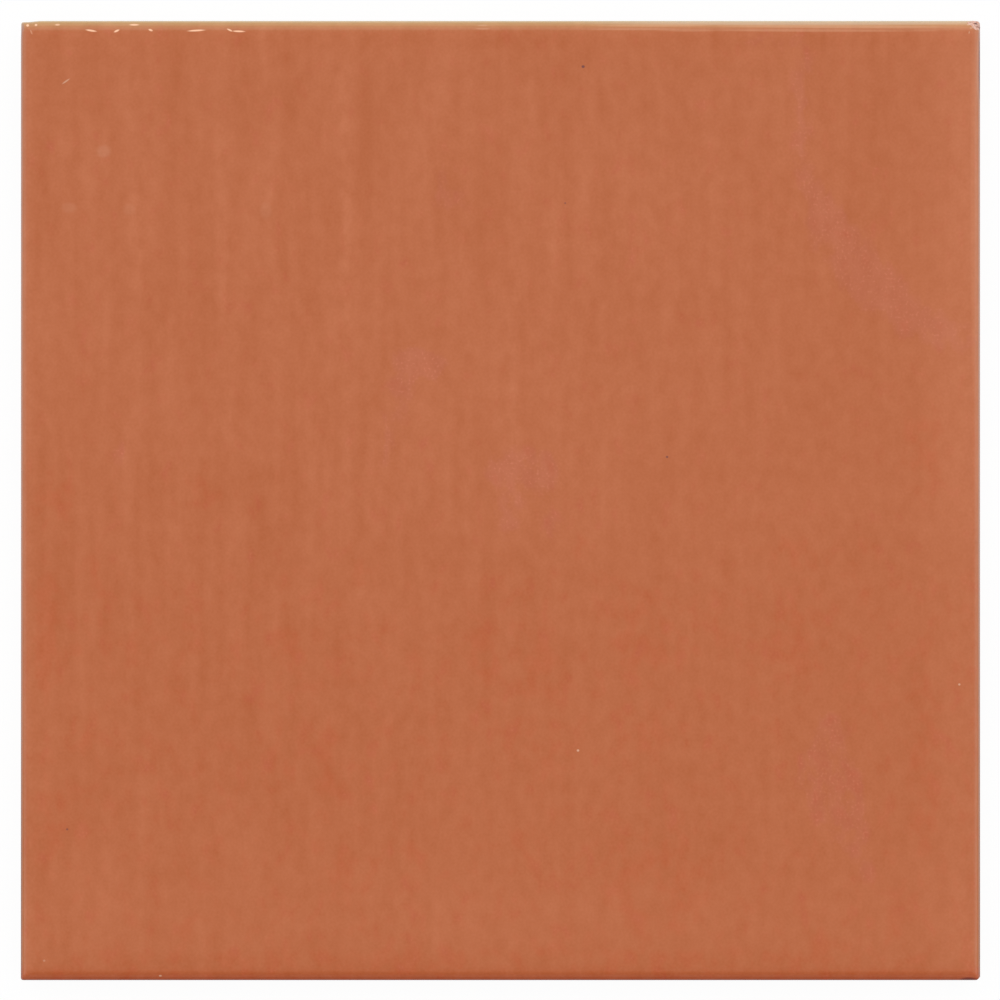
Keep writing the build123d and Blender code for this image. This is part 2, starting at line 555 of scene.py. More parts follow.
class GlazeLook(bpy.types.PropertyGroup):
    """Colours and gloss of the glaze and of the fired clay under it, with the colours of the light and
    shade painted on them
    """

    full_coat: FloatVectorProperty(
        name="Full Coat",
        description="Glaze at its usual thickness",
        default=(0.478, 0.1265, 0.0407),
        subtype="COLOR",
    )
    # Also the painted highlight along the top edge
    thin_coat_and_highlight: FloatVectorProperty(
        name="Thin Coat",
        description="Glaze drawn thin over an edge, with the clay showing through",
        default=(0.53, 0.37, 0.14),
        subtype="COLOR",
    )
    # Also the painted shade along the bottom edge
    pooled_coat_and_shade: FloatVectorProperty(
        name="Pooled Coat",
        description="Glaze pooled thick along the bottom edge",
        default=(0.45, 0.062, 0.006),
        subtype="COLOR",
    )
    lightness_step: FloatVectorProperty(
        name="Lightness Step",
        description="What one step of lightness adds to the glaze",
        default=(0.0058, 0.0031, 0.0021),
        subtype="COLOR",
    )
    red_mottle: FloatVectorProperty(
        name="Red Mottle",
        description="Redder clouds in the lower half of the face",
        default=(0.488, 0.114, 0.0342),
        subtype="COLOR",
    )
    haze: FloatVectorProperty(
        name="Haze",
        description="Lilac tint of the crystallised patches",
        default=(0.475, 0.1212, 0.0460),
        subtype="COLOR",
    )
    # Also the colour of the painted shade in the chip
    iron_speck_and_shade: FloatVectorProperty(
        name="Iron Speck",
        description="Dark specks in the face and stains in the chip",
        default=(0.14, 0.045, 0.045),
        subtype="COLOR",
    )
    # Painted shade colour for the dark lines along the rims
    painted_rim_shade: FloatVectorProperty(
        name="Burnt Rim",
        description="Glaze burnt dark along the rims",
        default=(0.16, 0.008, 0.002),
        subtype="COLOR",
    )
    pale_speck: FloatVectorProperty(
        name="Pale Speck",
        description="Pinholes and scratches",
        default=(0.70, 0.42, 0.28),
        subtype="COLOR",
    )
    # Painted highlight colour: glints and reflections along the top edge
    painted_edge_glint: FloatVectorProperty(
        name="Edge Glint",
        description="Small ripples and lines along the top edge that catch the light",
        default=(1.0, 0.60, 0.38),
        subtype="COLOR",
    )
    # Painted reflection colour for the pale lines along the top edge
    painted_edge_sheen: FloatVectorProperty(
        name="Edge Sheen",
        description="Pale lines along the top edge and down from the top right corner",
        default=(1.0, 1.0, 0.95),
        subtype="COLOR",
    )
    biscuit: FloatVectorProperty(
        name="Biscuit",
        description="Unglazed fired clay of the side walls and the back",
        default=(0.62, 0.42, 0.29),
        subtype="COLOR",
    )
    fresh_break: FloatVectorProperty(
        name="Fresh Break",
        description="Clay laid open where a corner is chipped",
        default=(0.74, 0.47, 0.38),
        subtype="COLOR",
    )
    # Painted colour of the grey reflection and shade just inside the rims
    painted_rim_reflection: FloatVectorProperty(
        name="Rim Smoke",
        description="Smoky lines just inside the burnt rims",
        default=(0.42, 0.27, 0.26),
        subtype="COLOR",
    )
    gloss_roughness: FloatProperty(
        name="Gloss Roughness",
        description="Roughness of the clear glaze",
        default=0.1,
        min=0.0,
        max=1.0,
        subtype="FACTOR",
    )
    haze_roughness: FloatProperty(
        name="Haze Roughness",
        description="Roughness of the crystallised patches",
        default=0.26,
        min=0.0,
        max=1.0,
        subtype="FACTOR",
    )


class StageLook(bpy.types.PropertyGroup):
    """Floor, light and camera"""

    floor_size: FloatProperty(
        name="Floor Size",
        description="Side of the floor",
        default=40.0,
        unit="LENGTH",
    )
    floor_shadow: FloatProperty(
        name="Floor Shadow",
        description="How much of the floor's brightness comes from the light that falls on it",
        default=0.06,
        min=0.0,
        max=1.0,
        subtype="FACTOR",
    )
    floor_bounce: FloatProperty(
        name="Floor Bounce",
        description="Share of the light that the floor throws back onto the tile's sides",
        default=0.7,
        min=0.0,
        max=1.0,
        subtype="FACTOR",
    )
    floor_flag: FloatProperty(
        name="Floor Flag",
        description="Brightness of the floor that the bottom edge mirrors, dimmed as by a black card",
        default=0.3,
        min=0.0,
        max=1.0,
        subtype="FACTOR",
    )
    sky_horizon: FloatProperty(
        name="Sky Horizon",
        description="Brightness of the light tent along the horizon",
        default=1.5,
        min=0.0,
    )
    sky_zenith: FloatProperty(
        name="Sky Zenith",
        description="Brightness of the light tent high above, round the camera",
        default=0.7,
        min=0.0,
    )
    sky_back: FloatProperty(
        name="Sky Back",
        description="Share of that brightness left beyond the bottom of the tile",
        default=0.45,
        min=0.0,
        max=1.0,
        subtype="FACTOR",
    )
    sky_foot: FloatProperty(
        name="Sky Foot",
        description="Share of that brightness left close above the floor, where a low view mirrors it",
        default=0.5,
        min=0.0,
        max=1.0,
        subtype="FACTOR",
    )
    sky_sideways: FloatProperty(
        name="Sky Sideways",
        description="How much brighter the tent is on the right, and dimmer on the left",
        default=0.07,
        min=0.0,
        max=1.0,
        subtype="FACTOR",
    )
    key_power: FloatProperty(
        name="Key Power",
        description="Large soft box beyond the top of the tile",
        default=31.0,
        unit="POWER",
    )
    overhead_power: FloatProperty(
        name="Overhead Power",
        description="Soft box above the camera, flagged off so that the glaze does not mirror it",
        default=51.0,
        unit="POWER",
    )
    camera_lens: FloatProperty(
        name="Camera Lens",
        description="Focal length of the camera",
        default=200.0,
        unit="CAMERA",
    )


class WallTileSettings(bpy.types.PropertyGroup):
    """All that can be set for the wall tile"""

    shape: PointerProperty(type=TileShape, name="Shape", description="Sizes of the tile")
    look: PointerProperty(type=GlazeLook, name="Look", description="Colours and gloss")
    stage: PointerProperty(type=StageLook, name="Stage", description="Floor, light and camera")


# Modelling in edit mode

Ring = namedtuple("Ring", "half height")


def outline_height(shape):
    """Height of the widest line of the rolled edge."""
    return shape.thickness - shape.pillow_fall - shape.edge_roll_radius


def steps(first, last, count):
    """The values after first, up to last, in equal steps."""
    return [first + (last - first) * step / count for step in range(1, count + 1)]


def edge_rings(shape):
    """The tile's square rings, from the end of the flat face out, down and in to the keyed back."""
    radius = shape.edge_roll_radius
    rim_slope = 2 * math.atan2(shape.pillow_fall, shape.pillow_width)
    roll_half = shape.side / 2 - radius
    roll_height = shape.thickness - shape.pillow_fall - radius * math.cos(rim_slope)
    pillow_radius = shape.pillow_width / math.sin(rim_slope)
    flat_half = roll_half + radius * math.sin(rim_slope) - shape.pillow_width

    rings = [Ring(flat_half, shape.thickness)]
    for turn in steps(0, rim_slope, PILLOW_RINGS):
        fall = pillow_radius * (1 - math.cos(turn))
        rings.append(Ring(flat_half + pillow_radius * math.sin(turn), shape.thickness - fall))
    for turn in steps(rim_slope, math.pi / 2 + shape.side_draft, ROLL_RINGS):
        rings.append(Ring(roll_half + radius * math.sin(turn), roll_height + radius * math.cos(turn)))
    wall_top = rings[-1]
    for height in steps(wall_top.height, shape.back_bevel, WALL_RINGS):
        lean = (wall_top.height - height) * math.tan(shape.side_draft)
        rings.append(Ring(wall_top.half - lean, height))
    back_half = rings[-1].half - shape.back_bevel
    rings.append(Ring(back_half, 0.0))
    rings.append(Ring(back_half - shape.key_border_width + shape.key_rib_width / 2, 0.0))
    return rings


def pick(tile, kind, test):
    """Selects only the elements of one kind (VERT, EDGE or FACE) that pass the test, in edit mode."""
    bpy.ops.mesh.select_mode(type=kind)
    bpy.ops.mesh.select_all(action="DESELECT")
    mesh = bmesh.from_edit_mesh(tile.data)
    elements = {"VERT": mesh.verts, "EDGE": mesh.edges, "FACE": mesh.faces}[kind]
    found = [element for element in elements if test(element)]
    for element in found:
        element.select_set(True)
    bmesh.update_edit_mesh(tile.data)
    if not found:
        raise RuntimeError(f"nothing on the tile fits the {kind.lower()} selection")


def reach(place):
    """How far out a place is, measured square to the nearest side."""
    return max(abs(place.x), abs(place.y))


def press_blank(rings):
    """The tile without its back: a plane whose border is drawn out ring by ring."""
    bpy.ops.object.select_all(action="DESELECT")
    bpy.ops.mesh.primitive_plane_add(size=2 * rings[0].half)
    tile = bpy.context.active_object
    tile.name = tile.data.name = "glazed_tile"
    bpy.ops.object.mode_set(mode="EDIT")
    bpy.ops.mesh.select_mode(type="EDGE")
    bpy.ops.transform.translate(value=(0, 0, rings[0].height))
    for inner, outer in zip(rings, rings[1:]):
        drop = (0, 0, outer.height - inner.height)
        bpy.ops.mesh.extrude_edges_move(TRANSFORM_OT_translate={"value": drop})
        growth = outer.half / inner.half
        bpy.ops.transform.resize(value=(growth, growth, 1))
    return tile


def round_corners(tile, shape):
    """Bevels the mitred corners of the rolled edge, the walls and the back bevel."""
    rim_height = shape.thickness - shape.pillow_fall

    def on_corner(edge):
        lower, upper = sorted((vertex.co for vertex in edge.verts), key=lambda place: place.z)
        mitred = all(abs(abs(place.x) - abs(place.y)) < FLAT for place in (upper, lower))
        return mitred and upper.z < rim_height + FLAT and upper.z - lower.z > FLAT

    pick(tile, "EDGE", on_corner)
    bpy.ops.mesh.bevel(
        offset=shape.corner_radius, segments=CORNER_SEGMENTS, affect="EDGES", clamp_overlap=False
    )


def cut_strips(tile, axis, passes, key_half):
    """Divides every edge along one axis, apart from the border of the keyed back, into even strips."""

    def along_axis(edge):
        first, second = (vertex.co for vertex in edge.verts)
        along = second - first
        keyed = max(reach(first), reach(second)) < key_half + FLAT and first.z < FLAT
        return abs(along[axis]) > along.length * (1 - FLAT) and not keyed

    for cuts in passes:
        pick(tile, "EDGE", along_axis)
        bpy.ops.mesh.subdivide(number_cuts=cuts)


def press_key(tile, shape, key_half):
    """Closes the back and presses the grid of tapered pockets into it."""

    def on_back(element):
        places = [vertex.co for vertex in element.verts]
        return all(abs(place.z) < FLAT and reach(place) < key_half + FLAT for place in places)

    def on_pocket_lip(edge):
        heights = sorted(face.calc_center_median().z for face in edge.link_faces)
        return on_back(edge) and heights[-1] - heights[0] > FLAT

    pick(tile, "EDGE", on_back)
    bpy.ops.mesh.edge_face_add()
    bpy.ops.mesh.select_all(action="SELECT")
    bpy.ops.mesh.normals_make_consistent(inside=False)
    pick(tile, "FACE", on_back)
    bpy.ops.mesh.subdivide(number_cuts=shape.key_pockets - 1)
    pick(tile, "FACE", on_back)
    bpy.ops.mesh.inset(thickness=shape.key_rib_width / 2, use_individual=True)
    wall_run = shape.key_depth * math.tan(shape.key_wall_draft)
    bpy.ops.mesh.inset(thickness=wall_run, depth=-shape.key_depth, use_individual=True)
    pick(tile, "EDGE", on_pocket_lip)
    bpy.ops.mesh.bevel(offset=shape.pocket_lip_radius, segments=POCKET_LIP_SEGMENTS, affect="EDGES")


def give_finish(tile, finish):
    """Gives the selected faces one of the tile's finishes, in edit mode."""
    tile.active_material_index = tile.material_slots.find(finish)
    bpy.ops.object.material_slot_assign()


def break_corner(tile, place, broken):
    """Cuts off what lies beyond a plane and leaves a rough, fresh break."""
    outward = broken.outward.normalized()
    bpy.ops.mesh.select_mode(type="VERT")
    bpy.ops.mesh.select_all(action="SELECT")
    bpy.ops.mesh.bisect(
        plane_co=place, plane_no=outward, use_fill=True, clear_outer=True, threshold=FLAT / 10
    )

    def on_break(face):
        return all(abs((vertex.co - place).dot(outward)) < FLAT for vertex in face.verts)

    pick(tile, "FACE", on_break)
    give_finish(tile, "fresh_break")
    bpy.ops.mesh.poke()
    bpy.ops.mesh.subdivide(
        number_cuts=BREAK_CUTS,
        fractal=broken.roughness,
        fractal_along_normal=1.0,
        seed=broken.seed,
    )


def roll_place(shape, along, outward):
    """The place on the rolled edge, so far along from the corner, that a break's plane just touches."""
    half = shape.side / 2
    radius = shape.edge_roll_radius
    across = math.hypot(max(outward.x, outward.y), outward.z)
    out = half - radius + radius * max(outward.x, outward.y) / across
    height = outline_height(shape) + radius * outward.z / across
    if outward.y > outward.x:
        return Vector((half - along, out, height))
    return Vector((out, half - along, height))


def wear_corners(tile, shape):
    """The damage to three corners: a clip, a chip with two faces, and glaze drawn back."""
    half = shape.side / 2
    clip_out = half - shape.corner_clip / 2
    break_corner(tile, Vector((clip_out, -clip_out, outline_height(shape))), CLIP_BREAK)
    for along, broken in zip((shape.chip_length, shape.chip_drop), CHIP_BREAKS):
        break_corner(tile, roll_place(shape, along, broken.outward), broken)

    corner = Vector((-half, half, shape.thickness))
    vertices = bmesh.from_edit_mesh(tile.data).verts
    nearest = min((vertex.co.copy() for vertex in vertices), key=lambda place: (place - corner).length)
    pick(tile, "VERT", lambda vertex: (vertex.co - nearest).length < FLAT)
    bpy.ops.transform.translate(
        value=(shape.corner_slump / 4, -shape.corner_slump, 0),
        use_proportional_edit=True,
        proportional_edit_falloff="SMOOTH",
        proportional_size=shape.slump_reach,
    )


# Relief and painted fields


def vertex_places(tile):
    """Every vertex of the tile in millimetres, as an array with a column each for X, Y and Z."""
    places = np.empty(len(tile.data.vertices) * 3)
    tile.data.vertices.foreach_get("co", places)
    return places.reshape(-1, 3) / MM


def smooth_step(low, high, values):
    """0 below low, 1 above high, and an even ease between them."""
    share = np.clip((values - low) / (high - low), 0, 1)
    return share * share * (3 - 2 * share)


def run_field(places):
    """Lightness of the glaze runs, which wander a little on their way down."""
    x, y = places[:, 0], places[:, 1]
    field = np.zeros(len(places))
    for run in GLAZE_RUNS:
        wander = sum(wave.aside * np.sin(wave.pace * y + wave.shift * run.x) for wave in RUN_WAVES)
        across = (x - run.x - wander) / run.half_width
        begun = 1 - smooth_step(run.top - RUN_END_FADE / 2, run.top, y)
        fade = begun * smooth_step(run.bottom, run.bottom + RUN_END_FADE, y)
        field += run.lightness * fade * np.exp(-(across**2))
    return field


def patch_field(places, patch):
    """One soft patch at its own strength."""
    gap = np.hypot((places[:, 0] - patch.x) / patch.half_x, (places[:, 1] - patch.y) / patch.half_y)
    return patch.strength * (1 - smooth_step(*PATCH_FADE, gap))


def shade_field(places):
    """Lightness of the two halves, the foot, the right margin, the painted highlight of the left rim and
    the broad patches.
    """
    x, y = places[:, 0], places[:, 1]
    parting = PARTING_LEFT - PARTING_DROP * smooth_step(*PARTING_STEP, x)
    parting += sum(wave.aside * np.sin(wave.pace * x) for wave in PARTING_WAVES)
    upper = smooth_step(-PARTING_HALF_WIDTH, PARTING_HALF_WIDTH, y - parting)
    field = LOWER_LIGHTNESS + (UPPER_LIGHTNESS - LOWER_LIGHTNESS) * upper
    field += FOOT_LIGHTNESS * (1 - smooth_step(*FOOT_STRETCH, y))
    margin = smooth_step(*MARGIN_STRETCH, x) * (1 + smooth_step(*MARGIN_RISE, y)) / 2
    field += MARGIN_LIGHTNESS * margin
    # Painted highlight along the left rim
    field += LEFT_RIM_PAINTED_HIGHLIGHT * smooth_step(*LEFT_RIM_STRETCH, -x)
    for patch in LIGHT_PATCHES:
        field += patch_field(places, patch)
    return field


def red_field(places):
    """How red the glaze has fired: a little in all of the lower half, and more in its patches."""
    field = LOWER_REDNESS - smooth_step(*REDNESS_STRETCH, places[:, 1])
    for patch in RED_PATCHES:
        field = np.maximum(field, patch_field(places, patch))
    return field


def haze_field(places):
    """How dull the glaze is, from 0 to 1, round the haze strokes."""
    field = np.zeros(len(places))
    for stroke in HAZE_STROKES:
        for start, end in zip(stroke.points, stroke.points[1:]):
            start, end = np.array(start), np.array(end)
            along = end[:2] - start[:2]
            share = np.clip(((places[:, :2] - start[:2]) @ along) / (along @ along), 0, 1)
            gap = np.linalg.norm(places[:, :2] - start[:2] - share[:, None] * along, axis=1)
            half_width = start[2] + share * (end[2] - start[2])
            inside = 1 - smooth_step(-HAZE_FEATHER, HAZE_FEATHER, gap - half_width)
            field = np.maximum(field, stroke.strength * inside)
    return field


def glaze_edge_field(places, shape):
    """Height in millimetres above the wandering lower edge of the glaze on the side walls."""
    field = places[:, 2] - shape.glaze_line / MM
    for waver in GLAZE_LINE_WAVERS:
        height = shape.glaze_line_waver / MM * waver.share
        for index, (x, y, _) in enumerate(places):
            spot = Vector((x / waver.size, y / waver.size, waver.layer))
            field[index] -= height * noise.noise(spot)
    return field


def paint_field(tile, name, values):
    """Stores a field on the tile's vertices for the materials to read."""
    layer = tile.data.attributes.new(name, "FLOAT", "POINT")
    layer.data.foreach_set("value", values.astype(np.float32))


def cloud_texture(name, size):
    """Soft procedural clouds of one size."""
    clouds = bpy.data.textures.new(name, "CLOUDS")
    clouds.noise_scale = size
    clouds.noise_depth = 1
    return clouds


def displace(tile, name, weights, height, direction, middle=0.0, texture=None):
    """Moves the weighted vertices by a Displace modifier, and applies it."""
    group = tile.vertex_groups.new(name=name)
    for index in np.flatnonzero(weights > 0):
        group.add([int(index)], float(weights[index]), "REPLACE")
    modifier = tile.modifiers.new(name, "DISPLACE")
    modifier.vertex_group = name
    modifier.direction = direction
    modifier.strength = height
    modifier.mid_level = middle
    if texture:
        modifier.texture = texture
        modifier.texture_coords = "LOCAL"
    bpy.ops.object.modifier_apply(modifier=name)


def raise_relief(tile, shape):
    """Gives the glaze its swell, runs and wavering edge, and sets the bare clay back from it."""
    places = vertex_places(tile)
    half = shape.side / 2 / MM
    roll = shape.edge_roll_radius / MM
    out = np.abs(places[:, :2]).max(axis=1)
    upper = smooth_step(shape.thickness / MM / 2, shape.thickness / MM - roll, places[:, 2])
    inner_face = upper * (1 - smooth_step(half - SWELL_FADE, half - 2 * roll, out))
    guard_start, guard_end = (half - share * roll for share in OUTLINE_GUARD)
    within_outline = 1 - smooth_step(guard_start, guard_end, out)
    on_edge = upper * smooth_step(half - 2 * roll, half - roll, out) * within_outline
    on_wall = (places[:, 2] > shape.back_bevel / MM / 2) & (out > half - roll / 2)
    glazed = smooth_step(-BARE_STEP_HALF, BARE_STEP_HALF, glaze_edge_field(places, shape))
    bare = on_wall * (1 - glazed)
    runs = np.clip(run_field(places) / STRONGEST_RUN, 0, 1) * inner_face

    lowered = 1 + shape.run_height / shape.glaze_swell
    swell = cloud_texture("swell_clouds", shape.swell_size)
    displace(tile, "glaze_swell", inner_face, shape.glaze_swell, "Z", lowered, swell)
    displace(tile, "glaze_runs", runs, shape.run_height, "Z")
    waver = cloud_texture("waver_clouds", shape.waver_size)
    displace(tile, "edge_waver", on_edge, shape.edge_waver, "NORMAL", 1.0, waver)
    displace(tile, "bare_step", bare, -shape.bare_step, "NORMAL")
    tile.vertex_groups.clear()


# Materials


class NodeBench:
    """Adds nodes to one tree and wires them up."""

    def __init__(self, tree):
        self.tree = tree

    def add(self, kind, inputs=None, **settings):
        """A new node with its settings, and its named or numbered inputs fed."""
        node = self.tree.nodes.new(kind)
        for name, value in settings.items():
            setattr(node, name, value)
        for name, value in (inputs or {}).items():
            self.feed(node.inputs[name], value)
        return node

    def feed(self, socket, value):
        """Links a socket to another, or sets its value."""
        if isinstance(value, bpy.types.NodeSocket):
            self.tree.links.new(value, socket)
        else:
            socket.default_value = value

    def maths(self, operation, first, second=0.0, third=0.0, clamp=False):
        """Plain arithmetic on numbers."""
        values = {0: first, 1: second, 2: third}
        return self.add("ShaderNodeMath", values, operation=operation, use_clamp=clamp).outputs[0]

    def total(self, *values):
        """The sum of several numbers."""
        whole = values[0]
        for value in values[1:]:
            whole = self.maths("ADD", whole, value)
        return whole

    def vector(self, operation, first, second=(0, 0, 0), third=(0, 0, 0)):
        """Arithmetic on vectors and colours."""
        values = {0: first, 1: second, 2: third}
        return self.add("ShaderNodeVectorMath", values, operation=operation).outputs["Vector"]

    def ease(self, value, low, high, to_low=0.0, to_high=1.0):
        """The value mapped from one range to another, with a smooth start and end."""
        ends = {"Value": value, "From Min": low, "From Max": high, "To Min": to_low, "To Max": to_high}
        return self.add("ShaderNodeMapRange", ends, interpolation_type="SMOOTHSTEP").outputs["Result"]

    def noise(self, place, size, detail=1.0):
        """Soft noise from 0 to 1 with patches of about one size, in the units of the place."""
        inputs = {"Vector": place, "Scale": 1 / size, "Detail": detail}
        return self.add("ShaderNodeTexNoise", inputs).outputs["Fac"]

    def swing(self, value, width):
        """A value from 0 to 1 made to swing either side of 0, over a width."""
        return self.maths("MULTIPLY_ADD", value, width, -width / 2)

    def blend(self, share, first, second):
        """One colour turning into another."""
        values = {0: share, 6: first, 7: second}
        return self.add("ShaderNodeMix", values, data_type="RGBA").outputs[2]

    def field(self, name):
        """A field painted on the vertices."""
        return self.add("ShaderNodeAttribute", attribute_name=name).outputs["Fac"]

    def place(self):
        """The place on the tile, in millimetres."""
        coordinates = self.add("ShaderNodeTexCoord").outputs["Object"]
        return self.vector("MULTIPLY", coordinates, (1 / MM, 1 / MM, 1 / MM))

    def axes(self, place):
        """A place's X, Y and Z by name."""
        return self.add("ShaderNodeSeparateXYZ", {"Vector": place}).outputs

    def use(self, group, **inputs):
        """A shader group with its inputs fed."""
        node = self.add("ShaderNodeGroup", node_tree=group)
        for name, value in inputs.items():
            self.feed(node.inputs[name.replace("_", " ")], value)
        return node.outputs


def rgba(colour):
    """A colour as a shader socket takes it."""
    return (*colour, 1.0)


def new_group(name, inputs, outputs):
    """An empty shader group with its sockets, and a bench to build on."""
    group = bpy.data.node_groups.new(name, "ShaderNodeTree")
    for sockets, direction in ((inputs, "INPUT"), (outputs, "OUTPUT")):
        for socket_name, kind in sockets.items():
            group.interface.new_socket(socket_name, in_out=direction, socket_type=f"NodeSocket{kind}")
    bench = NodeBench(group)
    return group, bench, bench.add("NodeGroupInput").outputs, bench.add("NodeGroupOutput").inputs


def soft_mark_group():
    """A small soft-edged oval anywhere on the face."""
    group, bench, given, wanted = new_group(
        "soft_mark",
        {"Place": "Vector", "Middle": "Vector", "Half Size": "Vector", "Turn": "Float"},
        {"Mask": "Float"},
    )
    offset = bench.vector("SUBTRACT", given["Place"], given["Middle"])
    offset = bench.vector("MULTIPLY", offset, (1, 1, 0))
    back = bench.maths("MULTIPLY", given["Turn"], -1.0)
    rotated = bench.add(
        "ShaderNodeVectorRotate", {"Vector": offset, "Angle": back}, rotation_type="Z_AXIS"
    )
    share = bench.vector("DIVIDE", rotated.outputs["Vector"], given["Half Size"])
    length = bench.add("ShaderNodeVectorMath", {0: share}, operation="LENGTH").outputs["Value"]
    bench.feed(wanted["Mask"], bench.ease(length, 1.0, MARK_CORE))
    return group


def biscuit_group():
    """Fired clay without glaze: mottled, speckled with iron, dull and grainy."""
    group, bench, given, wanted = new_group(
        "biscuit_clay",
        {"Place": "Vector", "Clay": "Color"},
        {"Color": "Color", "Roughness": "Float", "Height": "Float"},
    )
    place = given["Place"]
    mottle = bench.noise(place, CLAY_MOTTLE_SIZE, detail=4.0)
    shade = bench.ease(mottle, *NOISE_MIDDLE, *CLAY_SHADES)
    shaded = bench.add("ShaderNodeVectorMath", {0: given["Clay"], "Scale": shade}, operation="SCALE")
    specks = bench.ease(bench.noise(place, CLAY_SPECK_SIZE), *CLAY_SPECK_RANGE)
    iron = bench.vector("MULTIPLY", given["Clay"], CLAY_SPECK_TINT)
    bench.feed(wanted["Color"], bench.blend(specks, shaded.outputs["Vector"], iron))
    grain = bench.noise(place, CLAY_GRAIN_SIZE, detail=3.0)
    bench.feed(wanted["Roughness"], bench.ease(grain, *NOISE_MIDDLE, *CLAY_ROUGHNESS))
    bench.feed(wanted["Height"], bench.maths("MULTIPLY", grain, CLAY_GRAIN_HEIGHT * MM))
    return group


def coat_colour_and_shading(bench, look, shape, axes):
    """The glaze's colour for how thick it lies: thin over the top edge, pooled at the bottom one, with
    painted highlight along the top edge and painted shade along the bottom one.
    """
    half = shape.side / 2 / MM
    thickness = 0.0
    # Thin with painted highlight at the top edge, pooled with painted shade at the bottom edge
    for coat in EDGE_COATS_AND_SHADING:
        slope = coat.sign / coat.reach
        outwards = bench.maths("MULTIPLY_ADD", axes[coat.axis], slope, 1 - half / coat.reach, clamp=True)
        change = bench.maths("MULTIPLY", outwards, outwards)
        thickness = bench.maths("MULTIPLY_ADD", change, coat.thickness, thickness)
    fade_low, fade_high = (outline_height(shape) / MM + height for height in WALL_COAT_FADE)
    evened = bench.ease(axes["Z"], fade_low, fade_high, WALL_COAT_SHARE, 1.0)
    thickness = bench.maths("MULTIPLY", thickness, evened)
    share = bench.maths("MULTIPLY_ADD", thickness, 0.5, 0.5, clamp=True)
    ramp = bench.add("ShaderNodeValToRGB", {"Fac": share})
    stops = ramp.color_ramp.elements
    stops[0].color = rgba(look.thin_coat_and_highlight)
    stops[1].color = rgba(look.pooled_coat_and_shade)
    stops.new(0.5).color = rgba(look.full_coat)
    return ramp.outputs["Color"]


def glaze_lightness(bench, place, axes, blotches, grain):
    """Painted patches and broken runs, vertical streaks, blotches and grain, in steps of lightness."""
    diagonal = bench.maths("SUBTRACT", axes["Y"], axes["X"])
    upper_left = bench.ease(diagonal, *STREAK_DIAGONAL, *STREAK_SHARES)
    drawn_out = bench.vector("MULTIPLY", place, STREAK_DRAWN)
    streaks = bench.swing(bench.noise(drawn_out, STREAK_SIZE), STREAK_SWING)
    streaks = bench.maths("MULTIPLY", streaks, upper_left)
    broken = bench.ease(blotches, *NOISE_MIDDLE, *RUN_BREAKS)
    runs = bench.maths("MULTIPLY", bench.field("runs"), broken)
    fine = bench.swing(grain, GRAIN_SWING)
    patchy = bench.swing(blotches, BLOTCH_SWING)
    return bench.total(bench.field("lightness"), runs, streaks, patchy, fine)


def tinted(bench, amount, look_colour, plain_colour, colour):
    """A colour moved by an amount the way that one colour of the glaze differs from its plain one."""
    tint = tuple(changed - plain for changed, plain in zip(look_colour, plain_colour))
    return bench.vector("MULTIPLY_ADD", amount, tint, colour)


def glaze_group(look, shape):
    """The terracotta glaze: its colour, gloss and fine relief anywhere on the tile."""
    group, bench, given, wanted = new_group(
        "terracotta_glaze",
        {"Place": "Vector"},
        {"Color": "Color", "Roughness": "Float", "Height": "Float"},
    )
    place = given["Place"]
    axes = bench.axes(place)
    drawn_out = bench.vector("MULTIPLY", place, BLOTCH_DRAWN)
    blotches = bench.noise(drawn_out, BLOTCH_SIZE, detail=3.0)
    clouds = bench.noise(drawn_out, CLOUD_SIZE, detail=2.0)
    grain = bench.noise(place, GRAIN_SIZE, detail=0.0)
    red = bench.total(bench.field("redness"), bench.swing(clouds, RED_SWING))
    red = bench.ease(red, *RED_RANGE)
    haze = bench.total(bench.field("haze"), bench.swing(clouds, HAZE_SWING))
    haze = bench.ease(haze, *HAZE_RANGE)
    # Painted glitter: lighter specks in the haze
    painted_glitter = bench.maths("MULTIPLY", bench.ease(grain, *GLITTER_RANGE), haze)

    lightness = glaze_lightness(bench, place, axes, blotches, grain)
    lightness = bench.maths("MULTIPLY_ADD", painted_glitter, GLITTER_LIGHTNESS, lightness)
    colour = coat_colour_and_shading(bench, look, shape, axes)
    colour = bench.vector("MULTIPLY_ADD", lightness, tuple(look.lightness_step), colour)
    colour = tinted(bench, red, look.red_mottle, look.full_coat, colour)
    colour = tinted(bench, haze, look.haze, look.full_coat, colour)
    bench.feed(wanted["Color"], colour)
    roughness = bench.ease(haze, 0.0, 1.0, look.gloss_roughness, look.haze_roughness)
    bench.feed(wanted["Roughness"], roughness)
    ripples = bench.noise(place, RIPPLE_SIZE, detail=0.0)
    bench.feed(wanted["Height"], bench.maths("MULTIPLY", ripples, RIPPLE_HEIGHT * MM))
    return group


def new_material(name):
    """A material with only its Principled shader, and a bench to build on."""
    material = bpy.data.materials.new(name)
    material.use_nodes = True
    return material, NodeBench(material.node_tree), material.node_tree.nodes["Principled BSDF"]


def finish_shader(bench, shader, colour, roughness, height):
    """Feeds a Principled shader, with the height, in metres, as bump."""
    bump = bench.add("ShaderNodeBump", {"Height": height, "Distance": 1.0})
    bench.feed(shader.inputs["Base Color"], colour)
    bench.feed(shader.inputs["Roughness"], roughness)
    bench.feed(shader.inputs["Normal"], bump.outputs["Normal"])


def biscuit_material(look, biscuit):
    """The bare fired clay of the back."""
    material, bench, shader = new_material("bare_biscuit")
    bare = bench.use(biscuit, Place=bench.place(), Clay=rgba(look.biscuit))
    finish_shader(bench, shader, bare["Color"], bare["Roughness"], bare["Height"])
    return material


